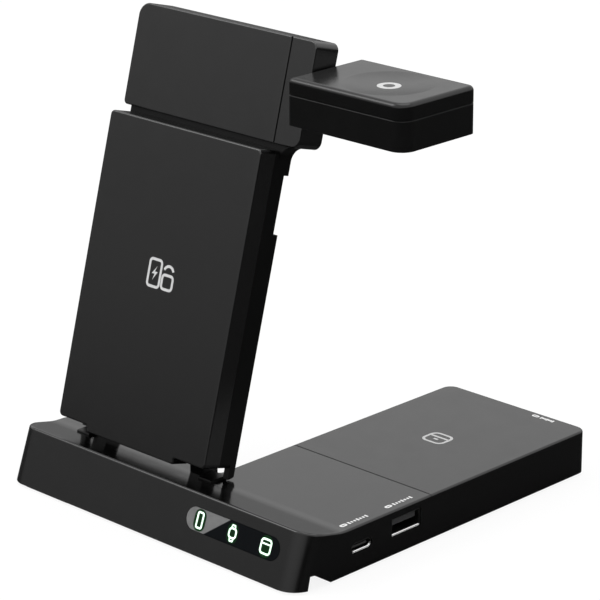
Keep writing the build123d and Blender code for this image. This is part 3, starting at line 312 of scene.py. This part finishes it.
# The values after each maker are its arguments, in their order.
SLOT_FINISH = {
    "black_housing": (moulded, (0.0012, 0.0024), (0.13, 0.19), 2600, 0.00001, 0.64),
    "black_panel": (moulded, (0.0014, 0.0026), (0.17, 0.23), 3200, 0.000012, 0.62),
    "matte_black": (moulded, (0.003, 0.006), (0.45, 0.6), 2200, 0.00002, 0.3),
    "rubber": (moulded, (0.012, 0.02), (0.65, 0.8), 1800, 0.00003, 0.3),
    "steel": (metal, (0.55, 0.55, 0.56), (0.22, 0.38), 900),
    "smoked_window": (smoked,),
    "circuit_board": (circuit_board,),
    "led": (glow, (0.75, 1.0, 0.8), 1.2),
    "socket_metal": (metal, (0.2, 0.2, 0.19), (0.25, 0.36), 1100),
    "socket_plastic": (coated, (0.03, 0.04), 600, 0.4),
    "copper": (metal, (0.75, 0.34, 0.16), (0.25, 0.4), 1400),
    "ferrite": (coated, (0.02, 0.035), 700, 0.6),
    "bronze": (metal, (0.55, 0.38, 0.18), (0.3, 0.42), 1000),
    "magnet": (metal, (0.66, 0.66, 0.68), (0.12, 0.22), 800),
}
MATERIALS = {slot: maker(slot, *values) for slot, (maker, *values) in SLOT_FINISH.items()}
PRINT = coated("grey_print", (0.5, 0.62), 900, 0.5)
MARKS = coated("white_print", (0.72, 0.85), 900, 0.5)
SYMBOL_LIGHT = glow("symbol_light", (0.72, 1.0, 0.78), 0.9)
HALO = glow("green_halo", (0.002, 0.018, 0.004), 0.5)
# Pale metal for the socket lips: a painted highlight of the light caught on the sockets' lower
# faces.
LIP_PAINTED_HIGHLIGHT = metal("lip_painted_highlight", (0.9, 0.9, 0.89), (0.2, 0.3), 1300)
FRONT_BLACK = moulded("front_black", (0.0014, 0.0026), (0.17, 0.23), 3200, 0.000012, 0.84)
OWN_FINISH = {
    "phone_panel": FRONT_BLACK,
    "head_cover": FRONT_BLACK,
    "head_end_cap": FRONT_BLACK,
    "watch_top": moulded("top_black", (0.0014, 0.0026), (0.17, 0.23), 3200, 0.000012, 0.5),
    "watch_case": moulded("case_black", (0.0022, 0.0034), (0.3, 0.38), 2600, 0.00001, 0.3),
    "arm_case": moulded("arm_black", (0.0012, 0.0022), (0.32, 0.4), 2600, 0.00001, 0.24),
}


def dress_cad_nodes():
    """Give every CAD node its own finish or that of its slot."""
    for part in frame["record"]["subparts"]:
        node = part["node"]
        slots = frame["nodes"][node].data.materials
        slots.clear()
        slots.append(OWN_FINISH.get(node, MATERIALS[part["material_slot"]]))


# ---- Pieces in mesh code ----
def mesh_object(name, mesh_builder, material):
    """Link one object made from a bmesh, with one material."""
    mesh = bpy.data.meshes.new(name)
    bm = bmesh.new()
    mesh_builder(bm)
    bm.to_mesh(mesh)
    bm.free()
    mesh.materials.append(material)
    made = bpy.data.objects.new(name, mesh)
    bpy.context.scene.collection.objects.link(made)
    return made


def new_piece(name, mesh_builder, material, body):
    """Make one closed or printed piece, with its faces turned out, that rides on a body."""

    def build(bm):
        mesh_builder(bm)
        bmesh.ops.recalc_face_normals(bm, faces=bm.faces)

    piece = mesh_object(name, build, material)
    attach(piece, body)
    return piece


def stroke(bm, points, width, height, place, closed=False):
    """A printed line: a raised strip of even width along flat points, laid out by place."""
    count = len(points)
    pts = [Vector(p) for p in points]
    left, right = [], []
    for i, p in enumerate(pts):
        directions = []
        if closed or i > 0:
            directions.append((p - pts[i - 1]).normalized())
        if closed or i < count - 1:
            directions.append((pts[(i + 1) % count] - p).normalized())
        along = sum(directions, Vector((0, 0))).normalized()
        normal = Vector((-along.y, along.x))
        square = Vector((-directions[0].y, directions[0].x))
        reach = width / 2 / max(MITRE_LEAST, normal.dot(square))
        left.append(p + normal * reach)
        right.append(p - normal * reach)

    def row(side, z):
        return [bm.verts.new(place @ Vector((q.x, q.y, z))) for q in side]

    low_l, low_r = row(left, 0), row(right, 0)
    top_l, top_r = row(left, height), row(right, height)
    for i in range(count if closed else count - 1):
        j = (i + 1) % count
        bm.faces.new((top_l[i], top_l[j], top_r[j], top_r[i]))
        bm.faces.new((low_l[i], top_l[i], top_l[j], low_l[j]))
        bm.faces.new((low_r[j], top_r[j], top_r[i], low_r[i]))
    if not closed:
        for i in (0, count - 1):
            bm.faces.new((low_l[i], low_r[i], top_r[i], top_l[i]))


def disc(bm, points, height, place):
    """A thin printed patch with a straight side wall, laid out by place."""
    low = [bm.verts.new(place @ Vector((x, y, 0))) for x, y in points]
    top = [bm.verts.new(place @ Vector((x, y, height))) for x, y in points]
    count = len(points)
    bm.faces.new(top)
    for i in range(count):
        j = (i + 1) % count
        bm.faces.new((low[i], low[j], top[j], top[i]))


def arc(cx, cy, r, start, end, steps):
    """Points on an arc, angles in degrees."""
    out = []
    for i in range(steps + 1):
        a = math.radians(start + (end - start) * i / steps)
        out.append((cx + r * math.cos(a), cy + r * math.sin(a)))
    return out


def rounded_rectangle(cx, cy, w, h, r):
    """A closed outline with round corners."""
    pts = []
    for sx, sy, start in ((1, 1, 0), (-1, 1, 90), (-1, -1, 180), (1, -1, 270)):
        x = cx + sx * (w / 2 - r)
        y = cy + sy * (h / 2 - r)
        pts += arc(x, y, r, start, start + 90, CORNER_STEPS)
    return pts


def scaled(points):
    """Flat points in millimetres as metres."""
    return [(x * MM, y * MM) for x, y in points]


def frame_line(bm, outline, width, place):
    """The printed edge of a rounded rectangle, in millimetres."""
    stroke(bm, scaled(rounded_rectangle(*outline)), width * MM, PRINT_HEIGHT, place, True)


def open_line(bm, points, width, place):
    """A printed line through points, in millimetres."""
    stroke(bm, scaled(points), width * MM, PRINT_HEIGHT, place)


def leaning_place(origin, lean, right_mm, up_mm, out_mm):
    """A spot on a plane that leans back: x to the right, y up the plane, z out of it."""
    s, c = math.sin(lean), math.cos(lean)
    axes = Matrix(((1, 0, 0), (0, s, -c), (0, c, s))).to_4x4()
    offset = axes @ Vector((right_mm * MM, up_mm * MM, out_mm * MM))
    return Matrix.Translation(origin + offset) @ axes


def window_centre():
    """The middle of the status window's outer face."""
    base_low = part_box("base_case")[0]
    up = WINDOW_UP * MM
    y = base_low.y + up * math.sin(FACE_LEAN)
    z = base_low.z + up * math.cos(FACE_LEAN)
    return Vector((middle("indicator_window").x, y, z))


def face_place(right_mm):
    """A spot on the base's front face, beside the status window's middle."""
    return leaning_place(window_centre(), FACE_LEAN, right_mm, 0, 0)


def panel_place(right_mm, up_mm):
    """A spot on the phone panel's face, from its middle and the hinge pin's axis."""
    pin = middle("hinge_pin")
    origin = Vector((middle("phone_panel").x, pin.y, pin.z))
    return leaning_place(origin, ARM_LEAN, right_mm, up_mm, PANEL_FRONT)


def level_place(x, y, z):
    """A spot on a level face: x to the right, y to the rear."""
    return Matrix.Translation(Vector((x, y, z)))


# ---- Marks ----
def status_symbols():
    """Three lit outlines on the smoked window: a phone, a watch and an earphone case."""

    def build(bm):
        frame_line(bm, LIT_PHONE, LIT_LINE, face_place(-ICON_PITCH))
        watch = face_place(0)
        frame_line(bm, LIT_WATCH, LIT_LINE, watch)
        for side in (-1, 1):
            open_line(bm, [(x, side * y) for x, y in LIT_STRAP], LIT_THIN, watch)
        case = face_place(ICON_PITCH)
        frame_line(bm, LIT_CASE, LIT_LINE, case)
        open_line(bm, LIT_LID, LIT_THIN, case)

    return new_piece("status_symbols", build, SYMBOL_LIGHT, "base")


def status_halos():
    """A dim green spill of light in the window round each lit symbol."""

    def build(bm):
        for side, width, height in HALOS:
            patch = scaled(rounded_rectangle(0, 0, width, height, HALO_CORNER))
            disc(bm, patch, PRINT_HEIGHT / 3, face_place(side * ICON_PITCH))

    return new_piece("status_halos", build, HALO, "base")


def bolt(cx, cy, size):
    """The outline of a charging bolt."""
    return [(cx + size * x, cy + size * y) for x, y in BOLT]


def phone_symbol():
    """A printed phone with a bolt, and a small earphone case beside it, on the phone panel."""

    def build(bm):
        place = panel_place(*PANEL_MARK_AT)
        frame_line(bm, PANEL_PHONE, PANEL_LINE, place)
        disc(bm, scaled(bolt(*PANEL_BOLT)), PRINT_HEIGHT, place)
        frame_line(bm, PANEL_CASE, PANEL_LINE, place)
        open_line(bm, arc(*PANEL_LID), PANEL_LINE, place)

    return new_piece("phone_symbol", build, PRINT, "arm")


def pad_symbol():
    """A printed earphone case with its lid line and clasp on the pad."""
    coil = middle("pad_coil")
    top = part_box("pad_cover")[1].z

    def build(bm):
        place = level_place(coil.x, coil.y, top)
        frame_line(bm, PAD_CASE, PAD_LINE, place)
        open_line(bm, PAD_LID, PAD_LINE, place)
        open_line(bm, PAD_CLASP, PAD_LINE, place)

    return new_piece("pad_symbol", build, PRINT, "base")


def watch_symbol():
    """A printed ring in the middle of the watch platform's dish."""
    coil = middle("watch_coil")
    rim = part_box("watch_top")[1].z

    def build(bm):
        place = level_place(coil.x, coil.y, rim - DISH_DEPTH * MM)
        ring = scaled(arc(*WATCH_RING))
        stroke(bm, ring, WATCH_RING_WIDTH * MM, 2 * PRINT_HEIGHT, place, True)

    return new_piece("watch_symbol", build, PRINT, "watch_platform")


def printed_row(bm, place, length):
    """A printed row by a socket: a small plug outline, then short ticks of two heights."""
    start = -length / 2
    plug_x, *plug = ROW_PLUG
    frame_line(bm, (start + plug_x, *plug), ROW_LINE, place)
    pitch = (length - ROW_TICKS_FROM) / (ROW_TICKS - 1)
    for n in range(ROW_TICKS):
        x = start + ROW_TICKS_FROM + n * pitch
        half = ROW_TICK_HALVES[n % len(ROW_TICK_HALVES)]
        open_line(bm, [(x, -half), (x, half)], ROW_TICK_WIDTH, place)


def socket_marks():
    """Generic marks on the top beside the three sockets."""
    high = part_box("base_case")[1]
    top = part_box("pad_cover")[1].z

    def build(bm):
        for node in ("usb_c_output_shell", "usb_a_output_shell"):
            place = level_place(high.x - SIDE_ROW_IN * MM, middle(node).y, top)
            turned = place @ Matrix.Rotation(math.radians(90), 4, "Z")
            printed_row(bm, turned, SIDE_ROW_LENGTH)
        inlet = level_place(middle("power_inlet_shell").x, high.y - INLET_ROW_IN * MM, top)
        printed_row(bm, inlet, INLET_ROW_LENGTH)

    return new_piece("socket_marks", build, MARKS, "base")


# ---- Small pieces ----
def lip_strip(bm, shell, r):
    """The flared lower lip of a side socket, from its lower rim and round its rear corner."""
    low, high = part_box(shell)
    face = high.x + LIP_PROUD * MM
    out, rise = LIP_OUT * MM, LIP_RISE * MM
    y0, y1 = low.y + LIP_SET_IN * MM, high.y - LIP_SET_IN * MM
    z0 = low.z + LIP_UP * MM
    path = [(y0, z0)]
    for step in range(LIP_STEPS + 1):
        turn = math.radians(90 * step / LIP_STEPS)
        path.append((y1 - r + r * math.sin(turn), z0 + r - r * math.cos(turn)))
    rings = []
    for i, (y, z) in enumerate(path):
        turn = math.radians(90 * max(0, i - 1) / LIP_STEPS)
        inner = (y - rise * math.sin(turn), z + rise * math.cos(turn))
        corners = ((face, y, z), (face - out, *inner), (face - out, y, z))
        rings.append([bm.verts.new(corner) for corner in corners])
    for first, second in zip(rings, rings[1:]):
        for k in range(3):
            bm.faces.new((first[k], second[k], second[(k + 1) % 3], first[(k + 1) % 3]))
    for end in (rings[0], rings[-1]):
        bm.faces.new(end)


def plinth(bm, x0, x1, y0, y1, z0, z1, r):
    """A low bar along x with two round upper edges."""
    outline = [(y0, z0), (y1, z0)]
    for cy, start in ((y1 - r, 0), (y0 + r, 90)):
        outline += arc(cy, z1 - r, r, start, start + 90, CORNER_STEPS)
    first = [bm.verts.new((x0, y, z)) for y, z in outline]
    second = [bm.verts.new((x1, y, z)) for y, z in outline]
    count = len(outline)
    for i in range(count):
        j = (i + 1) % count
        bm.faces.new((first[i], first[j], second[j], second[i]))
    bm.faces.new(first)
    bm.faces.new(second)


def dark_plinths_painted_reflection():
    """Low black blocks on the base beside the two hinge ears, under the arm's ends, that stand in
    for the arm's dark reflection in the base's glossy top: a painted reflection.
    """
    pin = middle("hinge_pin")
    middle_x = middle("phone_panel").x
    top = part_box("pad_cover")[1].z

    def build(bm):
        y0, y1 = pin.y - PLINTH_FRONT * MM, pin.y + PLINTH_REAR * MM
        z0, z1 = top - PLINTH_SUNK * MM, top + PLINTH_RISE * MM
        for side in (-1, 1):
            x0, x1 = sorted(middle_x + side * reach * MM for reach in (PLINTH_FROM, PLINTH_TO))
            plinth(bm, x0, x1, y0, y1, z0, z1, PLINTH_R * MM)

    return new_piece("dark_plinths_painted_reflection", build, OWN_FINISH["arm_case"], "base")


def socket_lips():
    """The flared lips of the two side sockets, in a pale metal: a painted highlight for the light
    caught on the sockets' lower faces.
    """

    def build(bm):
        for shell, corner_r in LIP_CORNER_R.items():
            lip_strip(bm, shell, corner_r * MM)

    return new_piece("socket_lips", build, LIP_PAINTED_HIGHLIGHT, "base")


def solid_centres(node):
    """The middles of a node's separate solids, from the vertices that hang together."""
    bm = bmesh.new()
    bm.from_mesh(frame["nodes"][node].data)
    bmesh.ops.remove_doubles(bm, verts=bm.verts, dist=SAME_VERTEX)
    left, centres = set(bm.verts), []
    while left:
        group, ahead = set(), [min(left, key=lambda v: v.index)]
        while ahead:
            vert = ahead.pop()
            if vert in group:
                continue
            group.add(vert)
            ahead += [edge.other_vert(vert) for edge in vert.link_edges]
        left -= group
        xs, ys = [v.co.x for v in group], [v.co.y for v in group]
        centres.append(((min(xs) + max(xs)) / 2, (min(ys) + max(ys)) / 2))
    bm.free()
    return sorted(centres)


def screw_drive_painted_shade():
    """Flat dark crosses on the heads of the screws under the base: painted shade standing in for
    their cross recesses.
    """
    centres = solid_centres("base_screws")
    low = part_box("base_screws")[0].z
    reach = DRIVE_REACH * MM

    def build(bm):
        for x, y in centres:
            place = level_place(x, y, low) @ Matrix.Rotation(math.pi, 4, "X")
            for turn in (DRIVE_TURN, DRIVE_TURN + math.pi / 2):
                dx, dy = reach * math.cos(turn), reach * math.sin(turn)
                ends = [(-dx, -dy), (0, 0), (dx, dy)]
                stroke(bm, ends, DRIVE_WIDTH * MM, PRINT_HEIGHT / 2, place)

    return new_piece("screw_drive_painted_shade", build, MATERIALS["rubber"], "base")


def seam_line():
    """The dark joint between the base's top and the pad cover."""
    low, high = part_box("pad_cover")

    def build(bm):
        place = level_place(0, low.y, high.z)
        short = SEAM_SHORT * MM
        ends = [(low.x + short, 0), ((low.x + high.x) / 2, 0), (high.x - short, 0)]
        stroke(bm, ends, SEAM_WIDTH * MM, PRINT_HEIGHT / 2, place)

    return new_piece("pad_seam", build, MATERIALS["rubber"], "base")


# ---- Stage ----
def seen_rays(tree):
    """1 for camera, glossy and transmission rays."""
    path = tree.nodes.new("ShaderNodeLightPath").outputs
    direct = maths(tree, "MAXIMUM", path["Is Camera Ray"], path["Is Glossy Ray"])
    return maths(tree, "MAXIMUM", direct, path["Is Transmission Ray"])


def floor_material():
    """Pale and matt, and nearly pure white to the rays that show it."""
    material = bpy.data.materials.new("floor_white")
    material.use_nodes = True
    tree = material.node_tree
    nodes, links = tree.nodes, tree.links
    nodes.clear()
    out = nodes.new("ShaderNodeOutputMaterial")
    mix = nodes.new("ShaderNodeMixShader")
    diffuse = nodes.new("ShaderNodeBsdfDiffuse")
    diffuse.inputs["Color"].default_value = (*grey(FLOOR_GREY), 1)
    white = nodes.new("ShaderNodeEmission")
    white.inputs["Strength"].default_value = 1.0
    links.new(maths(tree, "MULTIPLY", seen_rays(tree), FLOOR_WHITENED), mix.inputs["Fac"])
    links.new(diffuse.outputs[0], mix.inputs[1])
    links.new(white.outputs[0], mix.inputs[2])
    links.new(mix.outputs[0], out.inputs["Surface"])
    return material


def make_floor():
    """A plain pale floor that keeps the object's shadow."""

    def build(bm):
        lines = [FLOOR_SIZE * (i / FLOOR_STEPS - 0.5) for i in range(FLOOR_STEPS + 1)]
        grid = [[bm.verts.new((x, y, 0)) for y in lines] for x in lines]
        for first, second in zip(grid, grid[1:]):
            for j in range(FLOOR_STEPS):
                bm.faces.new((first[j], second[j], second[j + 1], first[j + 1]))

    mesh_object("floor", build, floor_material())


def make_table_flag():
    """A dark card over the table that only reflections see, so the sides stay deep black."""

    def build(bm):
        signs = ((-1, -1), (1, -1), (1, 1), (-1, 1))
        bm.faces.new([bm.verts.new((x * CARD_REACH, y * CARD_REACH, CARD_LIFT)) for x, y in signs])

    s = Shader("table_flag")
    s.feed("Base Color", s.blend(s.noise(scale=3, detail=2), *map(grey, CARD_GREYS)))
    s.base.inputs["Roughness"].default_value = CARD_ROUGHNESS
    card = mesh_object("table_flag", build, s.material)
    card.visible_camera = False
    card.visible_diffuse = False
    card.visible_shadow = False
    card.visible_transmission = False


def make_world():
    """A white studio that is darker low down, most of all on the right, and white to the camera."""
    world = bpy.data.worlds.new("studio")
    bpy.context.scene.world = world
    world.use_nodes = True
    tree = world.node_tree
    background = tree.nodes["Background"]
    background.inputs["Color"].default_value = (1, 1, 1, 1)
    split = tree.nodes.new("ShaderNodeSeparateXYZ")
    tree.links.new(tree.nodes.new("ShaderNodeTexCoord").outputs["Generated"], split.inputs[0])
    rightward, upward = split.outputs["X"], split.outputs["Z"]
    height = graded(tree, upward, *WORLD_HEIGHT, easing="SMOOTHSTEP")
    low_right = maths(tree, "MULTIPLY_ADD", upward, -SIDE_FALL, rightward)
    side = graded(tree, low_right, *WORLD_SIDE, easing="SMOOTHSTEP")
    level = maths(tree, "MULTIPLY", height, side)
    camera_ray = tree.nodes.new("ShaderNodeLightPath").outputs["Is Camera Ray"]
    tree.links.new(maths(tree, "MAXIMUM", level, camera_ray), background.inputs["Strength"])


def area_light(name, at, aim, size, power):
    """A rectangular lamp that looks at its aim."""
    data = bpy.data.lights.new(name, "AREA")
    data.shape = "RECTANGLE"
    data.size, data.size_y = size
    data.energy = power
    lamp = bpy.data.objects.new(name, data)
    bpy.context.scene.collection.objects.link(lamp)
    lamp.location = at
    lamp.rotation_mode = "QUATERNION"
    lamp.rotation_quaternion = (Vector(aim) - Vector(at)).to_track_quat("-Z", "Y")


def make_camera():
    """The camera that was fitted to the photo."""
    data = bpy.data.cameras.new("camera")
    data.sensor_width = CAMERA_SENSOR
    data.lens = CAMERA_LENS
    data.clip_start, data.clip_end = CAMERA_CLIP
    camera = bpy.data.objects.new("camera", data)
    bpy.context.scene.collection.objects.link(camera)
    camera.location = CAMERA_AT
    camera.rotation_mode = "QUATERNION"
    aim = (CAMERA_LOOKS_AT - CAMERA_AT).to_track_quat("-Z", "Y")
    camera.rotation_quaternion = aim @ Quaternion((0, 0, 1), CAMERA_ROLL)
    bpy.context.scene.camera = camera


bpy.context.scene.view_settings.view_transform = "Standard"
dress_cad_nodes()
status_halos()
status_symbols()
phone_symbol()
pad_symbol()
watch_symbol()
socket_marks()
dark_plinths_painted_reflection()
socket_lips()
screw_drive_painted_shade()
seam_line()
make_floor()
make_table_flag()
make_world()
for light in LIGHTS:
    area_light(*light)
make_camera()
